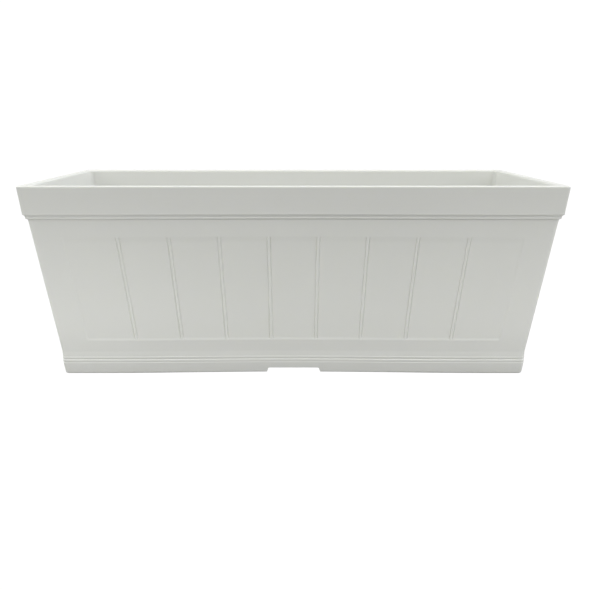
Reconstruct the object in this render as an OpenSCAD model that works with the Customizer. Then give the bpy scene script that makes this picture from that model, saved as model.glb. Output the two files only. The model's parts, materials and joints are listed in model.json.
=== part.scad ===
// Self watering window box: a moulded trough with a framed plank panel on each
// wall, a water reservoir under a two-piece perforated platform, soil baskets
// that wick water up, a fill tube with a flip cap, a float gauge, an overflow
// standpipe and a push-in drain plug.
// Origin: centre of the footprint, on the ground. +X is the length, -Y the front.

/* [Trough] */
// Length over the rim
length = 608; // [560:4:680]
// Depth over the rim, front to back
depth = 254; // [250:2:300]
// Overall height
height = 229; // [225:1:240]
// Width of the flat land on top of the rim
rim_land = 9.5; // [8:0.5:12]
// Wall thickness below the rim
wall = 3.6; // [3:0.2:4.5]
// Floor thickness
floor_t = 3; // [2.5:0.5:3.5]
// Ground clearance under the floor
floor_under = 8.5; // [8:0.5:9]
// Width of the notch in the base skirt, front and back
notch_w = 69; // [50:1:90]
// Height of that notch
notch_h = 7.2; // [5:0.2:7.4]

/* [Plank panels] */
// Planks on the front and the back
planks_long = 9; // [5:1:11]
// Planks on each end
planks_end = 3; // [2:1:4]
// Plain frame beside each panel
stile = 34; // [30:1:42]
// Height of the panel's lower edge
panel_low = 43; // [40:1:50]
// Height of the panel's upper edge
panel_high = 172; // [150:1:175]
// Depth of the panel below the frame
panel_recess = 0.6; // [0.4:0.1:1.4]

/* [Reservoir] */
// Top of the platform above the ground
platform_z = 50; // [48:1:54]
// Level at which the standpipe overflows
overflow_z = 37; // [34:1:37]
// Length of a soil basket along the box
basket_x = 78; // [60:1:80]
// Length of a soil basket across the box
basket_y = 110; // [90:1:112]

/* [Fittings] */
// Outer radius of the fill tube
fill_r = 17; // [15:0.5:18]
// Top of the fill tube
fill_top = 200; // [190:1:201]
// Outer radius of the gauge tube
gauge_r = 12; // [11:0.5:13]
// How far the float rises
float_travel = 24; // [20:1:24]

/* [Hidden] */

$fn = 48;
eps = 0.01;
slope = 6.13;                       // lean of the walls, in degrees
rise = tan(slope);
crown_low = 191;                    // where the moulded crown ends
body_inset = 6.1;                   // inset of the wall there
base_inset = 25.6;                  // inset of the skirt at the ground
skirt = 4;                          // thickness of the base skirt
floor_edge = 27.6;                  // inset of the line where the walls meet the floor
floor_z = floor_under + floor_t;    // top of the floor
foot_x = 85;                        // length of a corner foot along the front
foot_y = 45;                        // length of a corner foot along the end
foot_relief = 1;                    // how far the skirt clears the ground between feet
quirk_w = 1.3;                      // width of each groove beside a bead
quirk_depth = 0.8;                  // depth of that groove below the planks
quirk_gap = 1.95;                   // groove centre to bead centre
panel_corner = 8;
outer_plank = 6;                    // the two outer planks are this much wider
plank_fan = 0.025;                  // how much the planks widen from the middle outward
plate_t = 2.5;                      // platform thickness
rib_h = 8;                          // depth of the ribs under the platform
plate_x = length / 2 - 27;          // half length of the platform
plate_y = depth / 2 - 27;           // half depth of the platform
half_gap = 0.6;                     // each half stops this far from the middle
basket_at = 138;                    // soil basket, from the middle of the box
tube_at = [245, 68];                // fill tube and gauge, from the middle of the box
leg_spots = [[30, 80], [30, -80], [250, -80], [205, 82]];
finger_spots = [[30, 0], [250, 0]];
leg_r = 8;
plug_z = 20.5;                      // height of the drain plug's axis
plug_seat = length / 2 - 25;        // outer face of the seat the plug's flange rests on
pipe_at = [0, -62];                 // overflow standpipe
hinge_y = tube_at[1] + fill_r + 7;  // fill cap's hinge axis
hinge_z = fill_top + 2;
pin_r = 1.5;

function wall_inset(z) = body_inset + (crown_low - z) * rise;
function arc(c, r, a0, a1, n) =
    [for (i = [0:n]) let (a = a0 + (a1 - a0) * i / n) c + r * [cos(a), sin(a)]];

// Section of a wall, as [inset from the rim, height]: up the outer face, then down the inner one.
wall_steps = concat(
    [[base_inset, 0], [24.5, 1.8], [23.4, 14.8]],
    arc([26.9, 16.9], 3.7, 207, 153, 4),
    arc([26.95, 20.7], 3.7, 207, 153, 4),
    [[23.8, 23.4], [wall_inset(29), 29], [body_inset, crown_low + 0.2]],
    [[6, crown_low + 0.8]], arc([5.5, crown_low + 2.3], 1.2, 265, 190, 4),
    [[4.15, crown_low + 5.5]], arc([3.65, crown_low + 7.2], 1.2, 265, 190, 4),
    [[0, height - 0.9], [0.9, height], [rim_land - 0.6, height], [rim_land, height - 1],
     [wall_inset(crown_low) + wall, crown_low], [wall_inset(panel_low) + wall, panel_low],
     [floor_edge, floor_z], [floor_edge, floor_under], [base_inset + skirt - 1.6, 0]]);

// One wall, drawn as the front and mitred at both corners.
module wall_block(half_along, half_across) {
    intersection() {
        rotate([90, 0, 90]) linear_extrude(2 * half_along + 4, center = true)
            translate([-half_across, 0]) polygon(wall_steps);
        translate([0, 0, -1]) linear_extrude(height + 2)
            polygon([for (p = [[-1, -3], [1, -3], [1, 60], [-1, 60]])
                     [p[0] * (half_along - p[1]), p[1] - half_across]]);
    }
}

// Puts a flat outline on a leaning wall: x runs along it, y up it, z outward.
module on_wall(half) {
    translate([0, wall_inset(panel_low) - half, panel_low]) rotate([90 + slope, 0, 0]) children();
}

module panel_outline(low, high, up, r) {
    polygon(concat(
        arc([low - r, r], r, 270, 360, 4), arc([high - r, up - r], r, 0, 90, 4),
        arc([r - high, up - r], r, 90, 180, 4), arc([r - low, r], r, 180, 270, 4)));
}

// Cutters for one wall: the sunk panel, and a pair of grooves beside each bead.
module panel_cut(half_along, half_across, planks) {
    up = (panel_high - panel_low) / cos(slope);
    low = half_along - wall_inset(panel_low) - stile;
    high = half_along - wall_inset(panel_high) - stile;
    on_wall(half_across) {
        translate([0, 0, -panel_recess]) linear_extrude(4) panel_outline(low, high, up, panel_corner);
        translate([0, 0, -panel_recess - quirk_depth]) linear_extrude(4)
            for (i = [1:planks - 1], side = [-1, 1]) {
                even = 2 * i / planks - 1;
                share = even * (1 - plank_fan * (0.6 - even * even));
                x0 = share * (low - outer_plank) + side * quirk_gap;
                x1 = share * (high - outer_plank) + side * quirk_gap;
                polygon([[x0 - quirk_w / 2, 2], [x0 + quirk_w / 2, 2],
                         [x1 + quirk_w / 2, up - 2], [x1 - quirk_w / 2, up - 2]]);
            }
    }
}

module skirt_notch() {
    top = notch_w / 2 - 1.2;
    rotate([90, 0, 0]) linear_extrude(depth)
        polygon(concat([[-notch_w / 2, -1], [notch_w / 2, -1]],
                       arc([top - 2, notch_h - 2], 2, 0, 90, 4),
                       arc([2 - top, notch_h - 2], 2, 90, 180, 4)));
}

// One wall with its panel cut. The skirt stands on a foot at each corner only.
module plank_wall(half_along, half_across, planks, foot) {
    free = half_along - base_inset - foot;
    color([0.86, 0.865, 0.84]) difference() {
        wall_block(half_along, half_across);
        panel_cut(half_along, half_across, planks);
        translate([-free, -half_across, -1]) cube([2 * free, 60, 1 + foot_relief]);
    }
}

module trough_front() {
    difference() {
        plank_wall(length / 2, depth / 2, planks_long, foot_x);
        skirt_notch();
    }
}
module trough_back() { rotate(180) trough_front(); }
module trough_left_end() { rotate(-90) plank_wall(depth / 2, length / 2, planks_end, foot_y); }

// The right end has the drain: a boss inside, a flat seat outside and the hole.
module trough_right_end() {
    difference() {
        union() {
            rotate(90) plank_wall(depth / 2, length / 2, planks_end, foot_y);
            color([0.86, 0.865, 0.84]) translate([plug_seat - 7, 0, plug_z]) rotate([0, 90, 0])
                difference() {
                    cylinder(r = 12.5, h = 6.2);
                    translate([plug_z - floor_z, -20, -1]) cube([20, 40, 10]);
                }
        }
        translate([plug_seat - 20, 0, plug_z]) rotate([0, 90, 0]) cylinder(r = 6, h = 40);
        translate([plug_seat, 0, plug_z]) rotate([0, 90, 0]) cylinder(r = 12, h = 20);
    }
}

// Floor plate with its stiffening ribs, and the hole for the standpipe.
module trough_floor() {
    color([0.86, 0.865, 0.84]) difference() {
        translate([0, 0, floor_under]) union() {
            linear_extrude(floor_t)
                square([length - 2 * floor_edge, depth - 2 * floor_edge], center = true);
            for (y = [-38, 38]) translate([-length / 2 + 30, y - 1.25, -3])
                cube([length - 60, 2.5, 3 + eps]);
            for (x = [-140, 140]) translate([x - 1.25, -depth / 2 + 30, -3])
                cube([2.5, depth - 60, 3 + eps]);
        }
        translate([pipe_at[0], pipe_at[1], floor_under - 1]) cylinder(r = 8.2, h = floor_t + 2);
    }
}

module ring(r_out, r_in, h) {
    difference() {
        cylinder(r = r_out, h = h);
        translate([0, 0, -1]) cylinder(r = r_in, h = h + 2);
    }
}

module overflow_standpipe() {
    color([0.25, 0.26, 0.27]) translate([pipe_at[0], pipe_at[1], 0]) difference() {
        union() {
            translate([0, 0, 4]) cylinder(r = 8, h = overflow_z - 4);
            translate([0, 0, floor_z + 1.5]) cylinder(r = 13, h = 2.5);
        }
        translate([0, 0, 3]) cylinder(r = 5.5, h = overflow_z);
        for (a = [0, 90]) rotate(a) translate([-10, -1.5, overflow_z - 3]) cube([20, 3, 4]);
    }
}

module standpipe_washer() {
    color([0.12, 0.12, 0.12]) translate([pipe_at[0], pipe_at[1], floor_z]) ring(13, 8.1, 1.5);
}

module standpipe_nut() {
    color([0.25, 0.26, 0.27]) translate([pipe_at[0], pipe_at[1], floor_under - 3.7]) difference() {
        cylinder(r = 13, h = 3.7, $fn = 6);
        translate([0, 0, -1]) cylinder(r = 8.05, h = 6);
    }
}

module drain_plug() {
    color([0.2, 0.21, 0.22]) translate([plug_seat, 0, plug_z]) rotate([0, 90, 0]) difference() {
        union() {
            translate([0, 0, -9]) cylinder(r1 = 5, r2 = 5.8, h = 2);
            translate([0, 0, -7]) cylinder(r = 5.8, h = 7);
            cylinder(r = 11, h = 2.4);
            // pull tab
            translate([-1.5, -7, 2.4]) cube([3, 14, 5]);
            translate([-1.5, 0, 7.4]) rotate([0, 90, 0]) cylinder(r = 7, h = 3);
        }
        translate([0, 0, -5]) ring(8, 4.7, 2);
        translate([-5, 0, 8.4]) rotate([0, 90, 0]) cylinder(r = 3.2, h = 10);
    }
}

module plug_o_ring() {
    color([0.08, 0.08, 0.08]) translate([plug_seat - 4, 0, plug_z]) rotate([0, 90, 0])
        rotate_extrude() translate([5.3, 0]) circle(r = 0.6, $fn = 24);
}

function clear_of(p, spots, r) = len([for (s = spots) if (norm(p - s) < r) 1]) == 0;
function slot_fits(x, y) =
    clear_of([x, y], [tube_at], fill_r + 15)
    && clear_of([x, y], leg_spots, 22) && clear_of([x, y], finger_spots, 23)
    && (abs(x - basket_at) > basket_x / 2 + 12 || abs(y) > basket_y / 2 + 15);

module slot(w, l) {
    square([w, l - w], center = true);
    for (s = [-1, 1]) translate([0, s * (l - w) / 2]) circle(d = w, $fn = 24);
}

module rounded(x, y, r) {
    square([x - 2 * r, y], center = true);
    square([x, y - 2 * r], center = true);
    for (i = [-1, 1], j = [-1, 1]) translate([i * (x / 2 - r), j * (y / 2 - r)]) circle(r = r);
}

// Half of the platform, drawn on the right. The hole takes the fill or gauge tube.
module platform_half(hole_r) {
    mid = (half_gap + plate_x) / 2;
    span = plate_x - half_gap;
    top = platform_z - plate_t;
    difference() {
        union() {
            translate([mid, 0, top]) linear_extrude(plate_t) rounded(span, 2 * plate_y, 6);
            // skirt round the edge
            translate([mid, 0, top - rib_h]) linear_extrude(rib_h + eps) difference() {
                rounded(span, 2 * plate_y, 6);
                rounded(span - 4, 2 * plate_y - 4, 4);
            }
            // collar round the basket
            translate([basket_at, 0, top - rib_h]) linear_extrude(rib_h + eps) difference() {
                rounded(basket_x + 6, basket_y + 6, 12);
                rounded(basket_x + 2, basket_y + 2, 11);
            }
            // ribs between the rows of slots
            for (y = [-39, 39]) {
                translate([half_gap, y - 1, top - rib_h])
                    cube([basket_at - basket_x / 2 - 2 - half_gap, 2, rib_h + eps]);
                translate([basket_at + basket_x / 2 + 2, y - 1, top - rib_h])
                    cube([plate_x - basket_at - basket_x / 2 - 2, 2, rib_h + eps]);
            }
            for (p = leg_spots) translate([p[0], p[1], top - 6]) cylinder(r = leg_r + 2.5, h = 6 + eps);
            translate([tube_at[0], tube_at[1], top - 6]) cylinder(r = hole_r + 2, h = 6 + eps);
        }
        for (p = leg_spots) translate([p[0], p[1], top - 12]) cylinder(r = leg_r + 0.15, h = 12);
        translate([tube_at[0], tube_at[1], 0]) cylinder(r = hole_r, h = platform_z + 5);
        for (p = finger_spots) translate([p[0], p[1], 0]) cylinder(r = 12, h = platform_z + 5);
        translate([basket_at, 0, top - rib_h - 1]) linear_extrude(20) rounded(basket_x + 2, basket_y + 2, 11);
        translate([0, 0, top - 1]) linear_extrude(plate_t + 2)
            for (x = [14:13:plate_x - 10], y = [-78:26:78]) if (slot_fits(x, y)) translate([x, y]) slot(4, 18);
    }
}

module left() { mirror([1, 0, 0]) children(); }

module platform_left() { color([0.74, 0.745, 0.735]) left() platform_half(gauge_r + 0.4); }
module platform_right() { color([0.74, 0.745, 0.735]) platform_half(fill_r + 0.4); }

module legs() {
    for (p = leg_spots) translate([p[0], p[1], floor_z]) {
        ring(leg_r, leg_r - 2.4, platform_z - plate_t - floor_z);
        ring(leg_r + 3, leg_r - 2.4, 2);
    }
}
module legs_left() { color([0.68, 0.69, 0.68]) left() legs(); }
module legs_right() { color([0.68, 0.69, 0.68]) legs(); }

// Tub that holds soil down in the water.
module soil_basket() {
    low = floor_z + 1.5;
    translate([basket_at, 0, 0]) difference() {
        union() {
            translate([0, 0, low]) linear_extrude(platform_z + 2 - low) rounded(basket_x, basket_y, 10);
            translate([0, 0, platform_z]) linear_extrude(2) rounded(basket_x + 12, basket_y + 12, 14);
        }
        translate([0, 0, low + 2]) linear_extrude(60) rounded(basket_x - 4, basket_y - 4, 8);
        for (y = [-40:10:40]) translate([-basket_x, y - 2, low + 5]) cube([2 * basket_x, 4, 24]);
        for (x = [-24:12:24]) translate([x - 2, -basket_y, low + 5]) cube([4, 2 * basket_y, 24]);
        translate([0, 0, low - 1]) linear_extrude(4)
            for (x = [-24:12:24], y = [-30, 0, 30]) translate([x, y]) slot(4, 20);
    }
}
module soil_basket_left() { color([0.49, 0.505, 0.5]) left() soil_basket(); }
module soil_basket_right() { color([0.49, 0.505, 0.5]) soil_basket(); }

module at_tube() { translate([tube_at[0], tube_at[1], 0]) children(); }

module fill_tube() {
    foot = floor_z + 8.5;
    color([0.86, 0.87, 0.86]) {
        difference() {
            union() {
                at_tube() translate([0, 0, foot]) cylinder(r = fill_r, h = fill_top - foot);
                at_tube() translate([0, 0, platform_z]) cylinder(r = fill_r + 7, h = 2.5);
                at_tube() translate([0, 0, fill_top - 6]) cylinder(r = fill_r + 2, h = 6);
                // ears that hold the hinge pin
                for (x = [-9, 6]) translate([tube_at[0] + x, tube_at[1] + fill_r - 1, fill_top - 6])
                    cube([3, 8, 6]);
                for (x = [-9, 6]) translate([tube_at[0] + x, hinge_y, hinge_z]) rotate([0, 90, 0])
                    cylinder(r = 3.5, h = 3);
                for (x = [-9, 6]) translate([tube_at[0] + x, hinge_y - 3.5, fill_top - 6])
                    cube([3, 7, 8]);
            }
            at_tube() translate([0, 0, foot - 1]) cylinder(r = fill_r - 2.5, h = fill_top);
            at_tube() for (a = [0, 90]) rotate(a) translate([-30, -3, foot - 1]) cube([60, 6, 9]);
            translate([tube_at[0] - 12, hinge_y, hinge_z]) rotate([0, 90, 0]) cylinder(r = pin_r, h = 24);
        }
    }
}

module cap_hinge_pin() {
    color([0.7, 0.71, 0.72]) translate([tube_at[0] - 10, hinge_y, hinge_z]) rotate([0, 90, 0]) {
        cylinder(r = pin_r, h = 20);
        for (x = [-1, 20]) translate([0, 0, x]) cylinder(r = 2.4, h = 1);
    }
}

module fill_cap() {
    disc_z = fill_top + 0.3;
    color([0.3, 0.45, 0.33]) difference() {
        union() {
            at_tube() translate([0, 0, disc_z]) cylinder(r = fill_r + 2.5, h = 2.6);
            at_tube() translate([0, 0, disc_z + 2.6 - eps]) cylinder(r1 = fill_r + 2.5, r2 = fill_r + 1, h = 1);
            // knuckle between the ears
            translate([tube_at[0] - 5.6, hinge_y, hinge_z]) rotate([0, 90, 0]) cylinder(r = 3.2, h = 11.2);
            translate([tube_at[0] - 5.6, tube_at[1] + fill_r, disc_z]) cube([11.2, 7, 2.6]);
            // thumb tab
            translate([tube_at[0] - 7, tube_at[1] - fill_r - 7, disc_z]) cube([14, 8, 2.6]);
        }
        translate([tube_at[0] - 12, hinge_y, hinge_z]) rotate([0, 90, 0]) cylinder(r = pin_r + 0.08, h = 24);
        // groove that holds the seal
        at_tube() translate([0, 0, disc_z - 1]) ring(fill_r - 3.2, fill_r - 5.2, 2);
    }
}

module cap_seal() {
    color([0.1, 0.1, 0.1]) at_tube() translate([0, 0, fill_top - 2.2]) ring(fill_r - 3.2, fill_r - 5.2, 3.5);
}

module left_tube() { translate([-tube_at[0], tube_at[1], 0]) children(); }

lens_low = fill_top - 24;           // where the clear lens begins

module gauge_tube() {
    low = floor_z + 1;
    color([0.86, 0.87, 0.86]) left_tube() difference() {
        union() {
            translate([0, 0, low]) cylinder(r = gauge_r, h = lens_low - low);
            translate([0, 0, platform_z]) cylinder(r = gauge_r + 7, h = 2.5);
            translate([0, 0, lens_low - 8]) cylinder(r = gauge_r + 2, h = 12);
        }
        translate([0, 0, low + 1.2]) cylinder(r = gauge_r - 2, h = 200);
        translate([0, 0, lens_low]) cylinder(r = gauge_r + 0.1, h = 10);
        translate([0, 0, low - 1]) cylinder(r = 5, h = 4);
        for (a = [0:60:120]) rotate(a) translate([-20, -1.5, low + 5]) cube([40, 3, 22]);
    }
}

module gauge_lens() {
    color([0.85, 0.92, 0.95, 0.4]) left_tube() translate([0, 0, lens_low]) difference() {
        union() {
            cylinder(r = gauge_r, h = 24);
            translate([0, 0, 24]) cylinder(r1 = gauge_r, r2 = gauge_r - 2, h = 2);
        }
        translate([0, 0, -1]) cylinder(r = gauge_r - 1.6, h = 25);
    }
}

module gauge_float() {
    color([0.93, 0.93, 0.9]) left_tube() translate([0, 0, floor_z + 2.4]) difference() {
        union() {
            cylinder(r = gauge_r - 3, h = 18);
            translate([0, 0, 18]) cylinder(r1 = gauge_r - 3, r2 = 5, h = 2);
        }
        translate([0, 0, 4]) cylinder(r = 2.05, h = 30);
    }
}

module indicator_rod() {
    head = lens_low + 10 - float_travel;
    color([0.78, 0.1, 0.08]) left_tube() {
        translate([0, 0, floor_z + 6.4]) cylinder(r = 2, h = head - floor_z - 6.4 + eps);
        translate([0, 0, head]) cylinder(r = gauge_r - 5, h = 12);
        translate([0, 0, head + 12 - eps]) cylinder(r1 = gauge_r - 5, r2 = gauge_r - 7, h = 1.5);
    }
}

trough_front();
trough_back();
trough_left_end();
trough_right_end();
trough_floor();
overflow_standpipe();
standpipe_washer();
standpipe_nut();
drain_plug();
plug_o_ring();
platform_left();
legs_left();
soil_basket_left();
gauge_tube();
gauge_lens();
gauge_float();
indicator_rod();
platform_right();
legs_right();
soil_basket_right();
fill_tube();
cap_hinge_pin();
fill_cap();
cap_seal();
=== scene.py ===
"""Looks for the self watering planter: the moulded trough with its rounded edges and beaded planks,
bevelled and grained inner parts, and a plain white studio."""
import json
import math

import bmesh
import bpy
import numpy as np
from mathutils import Matrix, Vector


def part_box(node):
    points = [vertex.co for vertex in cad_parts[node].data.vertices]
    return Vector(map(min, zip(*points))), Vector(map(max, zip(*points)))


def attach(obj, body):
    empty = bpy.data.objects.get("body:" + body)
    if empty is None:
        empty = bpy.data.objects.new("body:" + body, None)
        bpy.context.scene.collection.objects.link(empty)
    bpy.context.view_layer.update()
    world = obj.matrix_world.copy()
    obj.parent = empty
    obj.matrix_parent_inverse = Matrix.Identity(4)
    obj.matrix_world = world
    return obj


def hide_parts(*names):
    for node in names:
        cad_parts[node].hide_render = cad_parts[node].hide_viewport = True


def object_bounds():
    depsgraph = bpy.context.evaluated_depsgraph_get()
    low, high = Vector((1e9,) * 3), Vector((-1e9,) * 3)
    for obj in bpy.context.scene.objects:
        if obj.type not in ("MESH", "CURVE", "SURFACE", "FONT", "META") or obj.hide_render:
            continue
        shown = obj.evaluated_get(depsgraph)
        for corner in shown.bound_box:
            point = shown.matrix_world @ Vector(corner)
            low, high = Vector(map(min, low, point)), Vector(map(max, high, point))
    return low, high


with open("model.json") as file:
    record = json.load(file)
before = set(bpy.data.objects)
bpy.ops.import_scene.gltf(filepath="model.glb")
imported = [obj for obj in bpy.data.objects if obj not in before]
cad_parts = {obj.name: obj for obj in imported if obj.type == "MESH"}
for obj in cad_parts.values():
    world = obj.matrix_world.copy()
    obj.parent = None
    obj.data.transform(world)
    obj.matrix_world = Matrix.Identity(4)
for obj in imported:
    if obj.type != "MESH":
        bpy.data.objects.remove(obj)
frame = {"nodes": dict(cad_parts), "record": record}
cad_low, cad_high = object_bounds()
nodes = frame["nodes"]

MM = 0.001
LENGTH, DEPTH, HEIGHT = [(cad_high[i] - cad_low[i]) / MM for i in range(3)]

# ------------------------------------------------------------------ the trough, in millimetres
RISE = math.tan(math.radians(6.13))      # lean of the walls
CROWN_LOW = 191.0                        # where the crown ends and the wall begins
BODY_INSET = 6.1                         # inset of the wall there
WALL = 3.6
RIM_LAND = 9.5
FLOOR_UNDER, FLOOR_TOP = 8.5, 11.5
STILE = 34.0                             # plain frame beside each panel
OUTER_PLANK = 6.0                        # the outer planks are this much wider
PLANK_FAN = 0.025                        # how much the planks widen from the middle outward
PANEL_LOW, PANEL_HIGH = 43.0, 172.0
PANEL_RECESS = 0.5
LOW_RAMP, HIGH_RAMP, SIDE_RAMP = 4.2, 8.0, 3.0   # widths of the panel's sloping edges
QUIRK_AT = 1.95                          # groove centre to bead centre
QUIRK_HALF = 0.65
QUIRK_DEPTH = 0.8
BEAD_RISE = 0.35                         # how far the middle of a bead stands proud of the planks
SKIRT_BEAD = 9.0                         # radius of the two beads above the skirt
BEAD_SWEEP = 11.0                        # half their arc, in degrees
PLANKS_LONG, PLANKS_END = 9, 3
NOTCH_WIDTH, NOTCH_HEIGHT, NOTCH_ROUND = 64.5, 8.2, 2.0
END_RELIEF, FOOT_ACROSS = 1.0, 45.0      # the ends' clearance between their corner feet
SIDE_RELIEF = 2.2                        # how far the long sides arch up in the middle of their lower edge
BOW = 1.3                                # and how far the lines of the long walls do
CROWN_REACH = 0.75                       # how much more the crown stands out over the ends
RIB_HEIGHT = 3.2
ARC_STEP = math.radians(18)
CORNER_STEPS = 6


def wall_inset(z):
    return BODY_INSET + (CROWN_LOW - z) * RISE


def smooth(t):
    t = np.clip(t, 0.0, 1.0)
    return t * t * (3 - 2 * t)


def rounded(corners, pad=0.4):
    """An open outline with its corners rounded. Each corner is (inset, height, radius).

    The point just before and after an arc keeps the flat beside it flat when shaded."""
    points = [Vector(corners[0][:2])]
    for before, here, after in zip(corners, corners[1:], corners[2:]):
        corner, radius = Vector(here[:2]), here[2]
        back = (Vector(before[:2]) - corner).normalized()
        ahead = (Vector(after[:2]) - corner).normalized()
        turn = math.pi - back.angle(ahead)
        if radius == 0:
            points.append(corner)
            continue
        run = radius * math.tan(turn / 2)
        centre = corner + (back + ahead).normalized() * radius / math.cos(turn / 2)
        start, end = corner + back * run, corner + ahead * run
        first = math.atan2(start.y - centre.y, start.x - centre.x)
        last = math.atan2(end.y - centre.y, end.x - centre.x)
        sweep = (last - first + math.pi) % (2 * math.pi) - math.pi
        steps = max(2, math.ceil(abs(sweep) / ARC_STEP))
        if (start - points[-1]).length > 2 * pad:
            points.append(start + back * pad)
        for i in range(steps + 1):
            a = first + sweep * i / steps
            points.append(centre + Vector((math.cos(a), math.sin(a))) * radius)
        if (end - Vector(after[:2])).length > 2 * pad:
            points.append(end + ahead * pad)
    points.append(Vector(corners[-1][:2]))
    return [tuple(p) for p in points]


def bead(inset, z, tilt):
    """The rounded front of a horizontal bead, from its lower groove up. Its middle faces down by the tilt."""
    tilt = math.radians(tilt)
    angles = [tilt + math.radians(BEAD_SWEEP) * (3 - i) / 3 for i in range(7)]
    return [(inset + SKIRT_BEAD * (math.cos(tilt) - math.cos(a)),
             z + SKIRT_BEAD * (math.sin(tilt) - math.sin(a))) for a in angles]


def spread(low, high, step):
    n = max(1, round((high - low) / step))
    return [low + (high - low) * i / n for i in range(1, n)]


EDGE_OFFSETS = [-1.2, -0.4, 0.2, 0.8, 1.4, 2.1, 2.9, 3.8, 4.8, 6.1, 7.6, 9.2]


def outer_rows():
    """(inset, height) of every ring outside, from the inside of the feet up to the rim."""
    base = rounded([(28.0, FLOOR_UNDER + 0.6, 0), (28.0, 0.0, 0.5), (24.9, 0.0, 2.7), (23.45, 14.6, 0.4),
                    (24.0, 15.0, 0)])
    panel_rows = [PANEL_LOW + o for o in EDGE_OFFSETS]
    panel_rows += spread(PANEL_LOW + EDGE_OFFSETS[-1], PANEL_HIGH - EDGE_OFFSETS[-1], 18)
    panel_rows += [PANEL_HIGH - o for o in reversed(EDGE_OFFSETS)]
    cove = rounded([(23.6, 22.2, 0), (23.62, 23.1, 0.4), (wall_inset(29), 29, 14), (wall_inset(42), 42, 0)])
    wall = [(wall_inset(z), z) for z in panel_rows]
    top = CROWN_LOW
    crown = rounded([(wall_inset(top - 8), top - 8, 0), (BODY_INSET - 0.1, top + 0.4, 0.5),
                     (5.1, top + 0.8, 0.5), (4.55, top + 1.9, 0.3), (4.65, top + 3.2, 0.6),
                     (4.0, top + 5.1, 0.5), (3.35, top + 5.5, 0.5), (2.9, top + 6.7, 0.3),
                     (2.85, top + 8.3, 0.6), (0.0, HEIGHT, 1.3),
                     (RIM_LAND - 0.3, HEIGHT, 2.4), (RIM_LAND + 0.2, CROWN_LOW, 6),
                     (wall_inset(70) + WALL, 70, 0)])
    return base[:-1] + bead(23.35, 16.6, 6) + bead(23.48, 20.4, 9) + cove + wall + crown


def inner_rows():
    return rounded([(wall_inset(70) + WALL, 70, 0), (27.5, FLOOR_TOP, 4.0), (40, FLOOR_TOP, 0)])[1:]


def ring_corner(z, inner):
    """Radius of the vertical corner at a height."""
    if inner:
        return 5.0
    if z < 2:
        return 5.0 - 1.5 * (1 - z / 2)
    return 5.0 if z < CROWN_LOW + 1 else 2.6


def side_columns(planks):
    """Where the mesh lines of one wall stand, as (share of the panel, offset, share of the stile)."""
    left = [(-1, 0, f) for f in (-1, -0.82, -0.6, -0.35, -0.12)]
    left += [(-1, o, 0) for o in EDGE_OFFSETS]
    across = []
    for i in range(1, planks):
        near = [0.0, 0.5, 1.0, 1.3, 1.6, 1.95, 2.3, 2.6, 2.95, 3.5]
        share = plank_line(i, planks)
        shift = -share * OUTER_PLANK
        across += [(share, shift + o, 0) for o in [-x for x in reversed(near)] + near[1:]]
    middles = [((2 * i + 1) / planks - 1 + d / planks, 0, 0) for i in range(planks) for d in (-0.45, 0.45)]
    right = [(-s, -o, -f) for s, o, f in left]
    order = sorted(across + middles, key=lambda c: c[0] * 1000 + c[1])
    return left + order + right[::-1]


def plank_line(i, planks):
    """Where the i-th line between planks stands, as a share of the panel's half width."""
    share = 2 * i / planks - 1
    return share * (1 - PLANK_FAN * (0.6 - share * share))


def bead_profile(distance):
    """Depth below the planks, at a distance from a bead's middle."""
    d = np.abs(distance)
    groove = QUIRK_DEPTH * np.cos(np.clip((d - QUIRK_AT) / QUIRK_HALF, -1, 1) * math.pi / 2) ** 1.2
    return groove - BEAD_RISE * np.clip(1 - (d / (QUIRK_AT - QUIRK_HALF)) ** 2, 0, 1)


def panel_depth(x, z, half, planks):
    """How far the wall's face is pushed in at x along it and z up it. half is its half length there."""
    edge = half - STILE
    upright = smooth((z - PANEL_LOW) / LOW_RAMP) * smooth((PANEL_HIGH - z) / HIGH_RAMP)
    depth = PANEL_RECESS * upright * smooth((edge - np.abs(x)) / SIDE_RAMP)
    fade = smooth((z - PANEL_LOW - 1.2) / 1.6) * smooth((PANEL_HIGH - 1.2 - z) / 1.6)
    for i in range(1, planks):
        depth = depth + fade * bead_profile(x - plank_line(i, planks) * (edge - OUTER_PLANK))
    return depth


def arch(x, half):
    """A gentle arch over a long side: nothing near the corners, one in the middle."""
    return smooth(1 - np.abs(x) / half / 0.85)


def lift(x, inset, z, half, long_side):
    """How far a level of the outside stands above its nominal height."""
    if z < 2.5:
        if not long_side:
            return END_RELIEF * smooth((half - FOOT_ACROSS - np.abs(x)) / 12) * (1 - z / 2.5)
        return SIDE_RELIEF * arch(x, half) * (1 - z / 2.5 * (1 - BOW / SIDE_RELIEF))
    if not long_side or inset > 27:
        return 0.0
    return BOW * arch(x, half) * min(1.0, (HEIGHT - z) / 70)


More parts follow.
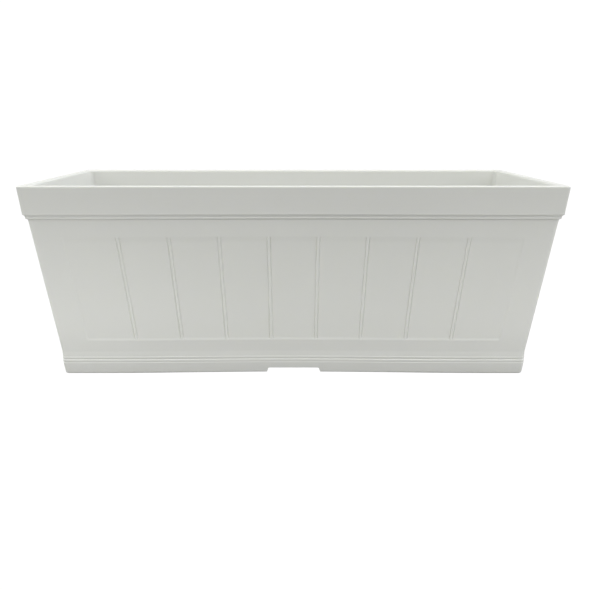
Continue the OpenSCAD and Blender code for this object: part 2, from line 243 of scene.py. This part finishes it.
def ring(inset, z, inner):
    """The points of one level of the trough, all the way round, with the panels pressed into the walls."""
    radius = ring_corner(z, inner)
    reach = 0 if inner or z < CROWN_LOW + 6 else CROWN_REACH * min(1.0, (HEIGHT - z) / 8)
    half = (LENGTH / 2 - inset + reach, DEPTH / 2 - inset)
    points = []
    for quarter in range(4):
        along, across = (half[0], half[1]) if quarter % 2 == 0 else (half[1], half[0])
        planks = PLANKS_LONG if quarter % 2 == 0 else PLANKS_END
        cols = np.array(side_columns(planks), float)
        x = cols[:, 0] * (along - STILE) + cols[:, 1] + cols[:, 2] * (STILE - radius)
        y = np.full_like(x, -across)
        up = np.full_like(x, z)
        if not inner:
            up = up + lift(x, inset, z, along, quarter % 2 == 0)
            if PANEL_LOW - 2 < z < PANEL_HIGH + 2:
                y = y + panel_depth(x, z, along, planks)
        turn = -math.pi / 2 + (np.arange(1, CORNER_STEPS) / CORNER_STEPS) * math.pi / 2
        x = np.append(x, along - radius + radius * np.cos(turn))
        y = np.append(y, -across + radius + radius * np.sin(turn))
        up = np.append(up, np.full(len(turn), z))
        a = quarter * math.pi / 2
        points.append(np.stack([x * math.cos(a) - y * math.sin(a), x * math.sin(a) + y * math.cos(a), up], 1))
    return np.concatenate(points)


def circle_points(centre, radius, z, n=40):
    turns = [2 * math.pi * i / n for i in range(n)]
    return [(centre[0] + radius * math.cos(a), centre[1] + radius * math.sin(a), z) for a in turns]


def fill_flat(bm, border, hole):
    """Closes a flat face between a border ring and a hole, and returns nothing."""
    edges = []
    for loop in (border, hole):
        for a, b in zip(loop, loop[1:] + loop[:1]):
            edges.append(bm.edges.get((a, b)) or bm.edges.new((a, b)))
    bmesh.ops.triangle_fill(bm, use_beauty=True, use_dissolve=False, edges=edges)


def tube_between(bm, lower, upper):
    for i in range(len(lower)):
        j = (i + 1) % len(lower)
        bm.faces.new((lower[i], lower[j], upper[j], upper[i]))


def make_trough():
    rows = [(40.0, FLOOR_UNDER, False), (28.6, FLOOR_UNDER, False)]
    rows += [(e, z, False) for e, z in outer_rows()[1:]]
    first_inner = next(i for i, r in enumerate(rows) if r[0] > 8 and r[1] > HEIGHT - 1)
    rows = rows[:first_inner] + [(e, z, True) for e, z, _ in rows[first_inner:]]
    rows += [(e, z, True) for e, z in inner_rows()]
    rings = [ring(*r) * MM for r in rows]
    bm = bmesh.new()
    levels = [[bm.verts.new(p) for p in r] for r in rings]
    for low_ring, high_ring in zip(levels, levels[1:]):
        tube_between(bm, low_ring, high_ring)
    pipe_low, pipe_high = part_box("overflow_standpipe")
    centre = [(pipe_low[i] + pipe_high[i]) / 2 for i in range(2)]
    hole_under = [bm.verts.new(p) for p in circle_points(centre, 0.0082, FLOOR_UNDER * MM)]
    hole_top = [bm.verts.new(p) for p in circle_points(centre, 0.0082, FLOOR_TOP * MM)]
    fill_flat(bm, levels[0], hole_under)
    fill_flat(bm, levels[-1], hole_top)
    tube_between(bm, hole_under, hole_top)
    bmesh.ops.recalc_face_normals(bm, faces=bm.faces)
    low_faces = [f for f in bm.faces if f.calc_center_median().z < 16 * MM]   # the notches' cut needs triangles
    bmesh.ops.triangulate(bm, faces=low_faces)
    mesh = bpy.data.meshes.new("trough")
    bm.to_mesh(mesh)
    bm.free()
    return mesh


def new_object(name, mesh):
    piece = bpy.data.objects.new(name, mesh)
    bpy.context.scene.collection.objects.link(piece)
    return piece


def cylinder_along_x(name, x0, x1, y, z, radius, n=64):
    bm = bmesh.new()
    turns = [2 * math.pi * i / n for i in range(n)]
    ends = [[bm.verts.new((x, y + radius * math.cos(a), z + radius * math.sin(a))) for a in turns]
            for x in (x0, x1)]
    tube_between(bm, *ends)
    for end in ends:
        bm.faces.new(end)
    bmesh.ops.recalc_face_normals(bm, faces=bm.faces)
    mesh = bpy.data.meshes.new(name)
    bm.to_mesh(mesh)
    bm.free()
    return new_object(name, mesh)


def prism_along_y(name, outline, y0, y1):
    bm = bmesh.new()
    ends = [[bm.verts.new((x * MM, y * MM, z * MM)) for x, z in outline] for y in (y0, y1)]
    tube_between(bm, *ends)
    for end in ends:
        bm.faces.new(end)
    bmesh.ops.recalc_face_normals(bm, faces=bm.faces)
    mesh = bpy.data.meshes.new(name)
    bm.to_mesh(mesh)
    bm.free()
    return new_object(name, mesh)


def cut(piece, tool, operation="DIFFERENCE"):
    """Cuts piece with tool, or joins them, for good, and removes the tool."""
    step = piece.modifiers.new("cut", "BOOLEAN")
    step.operation = operation
    step.object = tool
    step.solver = "EXACT"
    bake_modifiers(piece)
    if not piece.data.vertices:
        raise RuntimeError("the cut left nothing of " + piece.name)
    bpy.data.objects.remove(tool)


def add_ribs(mesh):
    """Stiffening ribs under the floor."""
    bm = bmesh.new()
    bm.from_mesh(mesh)
    for size, at in [((LENGTH - 60, 2.5), (0, 38)), ((2.5, DEPTH - 60), (140, 0))]:
        for side in (-1, 1):
            place = Matrix.Translation((at[0] * side * MM, at[1] * side * MM, (FLOOR_UNDER - 1.4) * MM))
            scale = Matrix.Diagonal((size[0] * MM, size[1] * MM, RIB_HEIGHT * MM, 1))
            bmesh.ops.create_cube(bm, size=1, matrix=place @ scale)
    bm.to_mesh(mesh)
    bm.free()


def bake_modifiers(piece):
    bpy.context.view_layer.update()
    shape = piece.evaluated_get(bpy.context.evaluated_depsgraph_get())
    done = bpy.data.meshes.new_from_object(shape)
    piece.modifiers.clear()
    piece.data = done


def notch_outline():
    """Outline of the water notch in the skirt, open at the ground with flared lips."""
    half, top, r = NOTCH_WIDTH / 2, NOTCH_HEIGHT, NOTCH_ROUND
    side = half - 1.2
    points = [(-half - 1.2, -1.0), (-half - 0.5, SIDE_RELIEF - 0.1), (-half, SIDE_RELIEF + 0.9)]
    points += [(-side + r + r * math.cos(a), top - r + r * math.sin(a))
               for a in (math.radians(180 - 18 * i) for i in range(6))]
    return points + [(-x, z) for x, z in reversed(points)]


shell = new_object("trough", make_trough())
seat_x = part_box("drain_plug")[0].x + 0.009          # outer face of the plug's seat
plug_z = sum(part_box("drain_plug")[i].z for i in (0, 1)) / 2
cut(shell, cylinder_along_x("boss", seat_x - 0.007, seat_x - 0.001, 0, plug_z, 0.0125), "UNION")
cut(shell, cylinder_along_x("seat", seat_x, seat_x + 0.02, 0, plug_z, 0.012))
cut(shell, cylinder_along_x("hole", seat_x - 0.02, seat_x + 0.02, 0, plug_z, 0.006))
for side in (-1, 1):
    wall_y = side * (DEPTH / 2 - 26)
    cut(shell, prism_along_y("notch", notch_outline(), wall_y - 6, wall_y + 6))
add_ribs(shell.data)
shell.data.shade_smooth()
shell.data.set_sharp_from_angle(angle=math.radians(38))
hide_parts("trough_front", "trough_back", "trough_left_end", "trough_right_end", "trough_floor")
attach(shell, "planter")


# ------------------------------------------------------------------ materials
def principled(name, color, roughness, specular=0.5):
    mat = bpy.data.materials.new(name)
    mat.use_nodes = True
    shader = mat.node_tree.nodes["Principled BSDF"]
    shader.inputs["Base Color"].default_value = (*color, 1)
    shader.inputs["Roughness"].default_value = roughness
    shader.inputs["Specular IOR Level"].default_value = specular
    return mat, mat.node_tree, shader


def noise(tree, scale, detail=3.0, distortion=0.0):
    place = tree.nodes.new("ShaderNodeTexCoord")
    tex = tree.nodes.new("ShaderNodeTexNoise")
    tex.inputs["Scale"].default_value = scale
    tex.inputs["Detail"].default_value = detail
    tex.inputs["Distortion"].default_value = distortion
    tree.links.new(place.outputs["Object"], tex.inputs["Vector"])
    return tex.outputs["Fac"]


def ramp(tree, value, low, high):
    """Two colours, mixed by a value from about 0.3 to 0.7."""
    node = tree.nodes.new("ShaderNodeValToRGB")
    node.color_ramp.elements[0].position = 0.3
    node.color_ramp.elements[1].position = 0.7
    node.color_ramp.elements[0].color = (*low, 1)
    node.color_ramp.elements[1].color = (*high, 1)
    tree.links.new(value, node.inputs["Fac"])
    return node.outputs["Color"]


def to_range(tree, value, low, high):
    node = tree.nodes.new("ShaderNodeMapRange")
    node.inputs["From Min"].default_value = 0.3
    node.inputs["From Max"].default_value = 0.7
    node.inputs["To Min"].default_value = low
    node.inputs["To Max"].default_value = high
    tree.links.new(value, node.inputs["Value"])
    return node.outputs["Result"]


def bump(tree, height, distance, strength, below=None):
    node = tree.nodes.new("ShaderNodeBump")
    node.inputs["Distance"].default_value = distance
    node.inputs["Strength"].default_value = strength
    tree.links.new(height, node.inputs["Height"])
    if below is not None:
        tree.links.new(below, node.inputs["Normal"])
    return node.outputs["Normal"]


def moulded(name, low, high, rough, grain_scale, grain_height, wave_height=0.0):
    """Moulded plastic: slightly mottled colour, fine grain, and long soft waves from the mould."""
    mat, tree, shader = principled(name, high, sum(rough) / 2)
    mottle = noise(tree, 9.0, 5.0, 0.4)
    tree.links.new(ramp(tree, mottle, low, high), shader.inputs["Base Color"])
    tree.links.new(to_range(tree, noise(tree, 34.0, 4.0), *rough), shader.inputs["Roughness"])
    normal = bump(tree, noise(tree, grain_scale, 2.0), grain_height, 1.0)
    if wave_height:
        normal = bump(tree, noise(tree, 16.0, 1.0), wave_height, 1.0, normal)
    tree.links.new(normal, shader.inputs["Normal"])
    return mat


# name: (two colours, least and most roughness, size of the grain, its depth in metres)
PLASTICS = {
    "platform_plastic": ((0.50, 0.51, 0.495), (0.54, 0.55, 0.535), (0.5, 0.62), 1100, 0.00006),
    "leg_plastic": ((0.42, 0.43, 0.42), (0.46, 0.47, 0.46), (0.4, 0.5), 900, 0.00003),
    "basket_plastic": ((0.20, 0.215, 0.21), (0.235, 0.25, 0.245), (0.5, 0.6), 1100, 0.00006),
    "tube_plastic": ((0.62, 0.63, 0.61), (0.68, 0.69, 0.67), (0.3, 0.4), 500, 0.00002),
    "float_foam": ((0.68, 0.68, 0.64), (0.78, 0.78, 0.74), (0.8, 0.95), 700, 0.0003),
    "indicator_red": ((0.42, 0.008, 0.005), (0.52, 0.012, 0.008), (0.18, 0.26), 400, 0.00001),
    "cap_green": ((0.020, 0.088, 0.032), (0.028, 0.115, 0.042), (0.3, 0.4), 1000, 0.00004),
    "fitting_plastic": ((0.008, 0.009, 0.01), (0.014, 0.015, 0.016), (0.4, 0.5), 900, 0.00003),
    "seal_rubber": ((0.005, 0.005, 0.005), (0.012, 0.012, 0.012), (0.7, 0.85), 1200, 0.00005),
}
materials = {name: moulded(name, *look) for name, look in PLASTICS.items()}
materials["shell_resin"] = moulded("shell_resin", (0.708, 0.715, 0.676), (0.718, 0.725, 0.686), (0.38, 0.44),
                                   1400, 0.00003, 0.00004)
resin = materials["shell_resin"].node_tree.nodes["Principled BSDF"]
resin.inputs["Subsurface Weight"].default_value = 0.6
resin.inputs["Subsurface Radius"].default_value = (1.0, 1.0, 0.9)
resin.inputs["Subsurface Scale"].default_value = 0.0022


def brushed_pin():
    mat, tree, shader = principled("pin_steel", (0.55, 0.56, 0.57), 0.3)
    shader.inputs["Metallic"].default_value = 1.0
    tree.links.new(ramp(tree, noise(tree, 600, 2.0), (0.45, 0.46, 0.47), (0.62, 0.63, 0.64)),
                   shader.inputs["Base Color"])
    tree.links.new(to_range(tree, noise(tree, 900, 3.0), 0.25, 0.4), shader.inputs["Roughness"])
    return mat


def clear_lens():
    mat, tree, shader = principled("gauge_clear", (0.93, 0.97, 0.98), 0.04)
    shader.inputs["Transmission Weight"].default_value = 1.0
    shader.inputs["IOR"].default_value = 1.49
    tree.links.new(to_range(tree, noise(tree, 120, 3.0), 0.02, 0.07), shader.inputs["Roughness"])
    return mat


materials["pin_steel"] = brushed_pin()
materials["gauge_clear"] = clear_lens()


def dress(piece, slot_name):
    piece.data.materials.clear()
    piece.data.materials.append(materials[slot_name])


def soften(piece):
    """Small rounded edges, as a mould leaves them."""
    join = piece.modifiers.new("join", "WELD")
    join.merge_threshold = 0.01 * MM
    edge = piece.modifiers.new("edge", "BEVEL")
    edge.width = 0.3 * MM
    edge.segments = 2
    edge.limit_method = "ANGLE"
    edge.angle_limit = math.radians(35)
    edge.harden_normals = True


dress(shell, "shell_resin")
slot_of = {s["node"]: s["material_slot"] for s in frame["record"]["subparts"]}
for node_name, node_object in nodes.items():
    dress(node_object, slot_of[node_name])
    if not node_name.startswith("trough_"):
        soften(node_object)

# ------------------------------------------------------------------ camera, light and floor
camera = bpy.data.objects.new("camera", bpy.data.cameras.new("camera"))
bpy.context.scene.collection.objects.link(camera)
bpy.context.scene.camera = camera
camera.data.sensor_width = 36
camera.data.lens = 39.32
camera.location = (0.0018, -DEPTH / 2 * MM - 0.710, HEIGHT * MM + 0.068)
camera.rotation_euler = (math.radians(90 - 15.05), 0, 0)


# Radiance of the light tent over each side of the object, at 0, 22.5, 45, 67.5 and 90 degrees up.
TENT = {(0, -1): (0.1, 1.46, 1.47, 1.3, 0.65), (0, 1): (0.35, 0.55, 0.55, 0.6, 0.65),
        (-1, 0): (0.8, 2.4, 1.6, 0.85, 0.65), (1, 0): (0.5, 2.25, 2.55, 1.45, 0.65)}
TENT_MOST = 4.0
# Painted bounce light: how brightly the floor glows in place of light a lit table throws back, at distances in
# front of the object's middle, in metres.
FLOOR_BOUNCE_GLOW = ((0.10, 0.23), (0.15, 0.22), (0.19, 0.81), (0.29, 0.81), (0.34, 0.32), (0.62, 0.0))
FLOOR_BOUNCE_FAR = 0.8
WHITE = 1.05


def scalar(tree, operation, first, second=None):
    node = tree.nodes.new("ShaderNodeMath")
    node.operation = operation
    for socket, value in zip(node.inputs, (first, second)):
        if isinstance(value, (int, float)):
            socket.default_value = value
        elif value is not None:
            tree.links.new(value, socket)
    return node.outputs[0]


def steps_ramp(tree, value, stops):
    """A grey ramp through (position, brightness) stops."""
    node = tree.nodes.new("ShaderNodeValToRGB")
    elements = node.color_ramp.elements
    while len(elements) < len(stops):
        elements.new(1.0)
    for element, (position, bright) in zip(elements, stops):
        element.position = position
        element.color = (bright, bright, bright, 1)
    tree.links.new(value, node.inputs["Fac"])
    return node.outputs["Color"]


def white_to_the_eye(tree, lit, white, out):
    """Shows plain white in the picture, and gives its own light to everything else."""
    path = tree.nodes.new("ShaderNodeLightPath")
    mix = tree.nodes.new("ShaderNodeMixShader")
    tree.links.new(path.outputs["Is Camera Ray"], mix.inputs["Fac"])
    tree.links.new(lit.outputs[0], mix.inputs[1])
    tree.links.new(white.outputs[0], mix.inputs[2])
    tree.links.new(mix.outputs[0], out.inputs["Surface"])


def make_floor():
    """A floor that glows with painted bounce light in place of a white table's, most a little in front of the
    object.
    """
    bm = bmesh.new()
    bmesh.ops.create_grid(bm, x_segments=8, y_segments=8, size=12)
    mesh = bpy.data.meshes.new("floor")
    bm.to_mesh(mesh)
    bm.free()
    piece = new_object("floor", mesh)
    mat, tree, shader = principled("floor_painted_bounce", (0, 0, 0), 0.9, 0.0)
    place = tree.nodes.new("ShaderNodeTexCoord")
    parts = tree.nodes.new("ShaderNodeSeparateXYZ")
    tree.links.new(place.outputs["Object"], parts.inputs[0])
    ahead = scalar(tree, "DIVIDE", parts.outputs["Y"], -FLOOR_BOUNCE_FAR)
    glow = steps_ramp(tree, ahead, [(d / FLOOR_BOUNCE_FAR, g) for d, g in FLOOR_BOUNCE_GLOW])
    aside = scalar(tree, "SUBTRACT", parts.outputs["X"], 0.07)
    sides = scalar(tree, "MULTIPLY", scalar(tree, "MULTIPLY", aside, aside), 4.0)
    spread_out = scalar(tree, "MINIMUM", scalar(tree, "ADD", sides, 0.9), 1.5)
    # Painted bounce light: the floor's own glow lights the object. It is a pool brightest a little in front of
    # the object and stronger towards the sides.
    tree.links.new(glow, shader.inputs["Emission Color"])
    tree.links.new(spread_out, shader.inputs["Emission Strength"])
    white = tree.nodes.new("ShaderNodeEmission")
    white.inputs["Strength"].default_value = WHITE
    white_to_the_eye(tree, shader, white, tree.nodes["Material Output"])
    mesh.materials.append(mat)


def make_world():
    """A light tent, brightest at the sides a third of the way up, and plain white to the eye."""
    world = bpy.data.worlds.new("studio")
    bpy.context.scene.world = world
    world.use_nodes = True
    tree = world.node_tree
    tree.nodes.clear()
    out = tree.nodes.new("ShaderNodeOutputWorld")
    place = tree.nodes.new("ShaderNodeTexCoord")
    parts = tree.nodes.new("ShaderNodeSeparateXYZ")
    tree.links.new(place.outputs["Generated"], parts.inputs[0])
    up = scalar(tree, "DIVIDE", scalar(tree, "ARCSINE", parts.outputs["Z"]), math.pi / 2)
    level = [scalar(tree, "MULTIPLY", parts.outputs[k], parts.outputs[k]) for k in "XY"]
    around = scalar(tree, "ADD", scalar(tree, "ADD", *level), 1e-6)
    total = 0.0
    for (x, y), bands in TENT.items():
        facing = scalar(tree, "MULTIPLY", parts.outputs["X" if x else "Y"], float(x or y))
        facing = scalar(tree, "MAXIMUM", facing, 0.0)
        share = scalar(tree, "DIVIDE", scalar(tree, "MULTIPLY", facing, facing), around)
        bright = steps_ramp(tree, up, [(i / 4, b / TENT_MOST) for i, b in enumerate(bands)])
        total = scalar(tree, "ADD", total, scalar(tree, "MULTIPLY", share, bright))
    lit = tree.nodes.new("ShaderNodeBackground")
    tree.links.new(ramp(tree, parts.outputs["X"], (1.0, 1.0, 1.0), (0.98, 0.985, 1.03)), lit.inputs["Color"])
    tree.links.new(scalar(tree, "MULTIPLY", total, TENT_MOST), lit.inputs["Strength"])
    white = tree.nodes.new("ShaderNodeBackground")
    white.inputs["Color"].default_value = (1, 1, 1, 1)
    white.inputs["Strength"].default_value = WHITE
    white_to_the_eye(tree, lit, white, out)


make_floor()
make_world()
bpy.context.scene.view_settings.view_transform = "Standard"
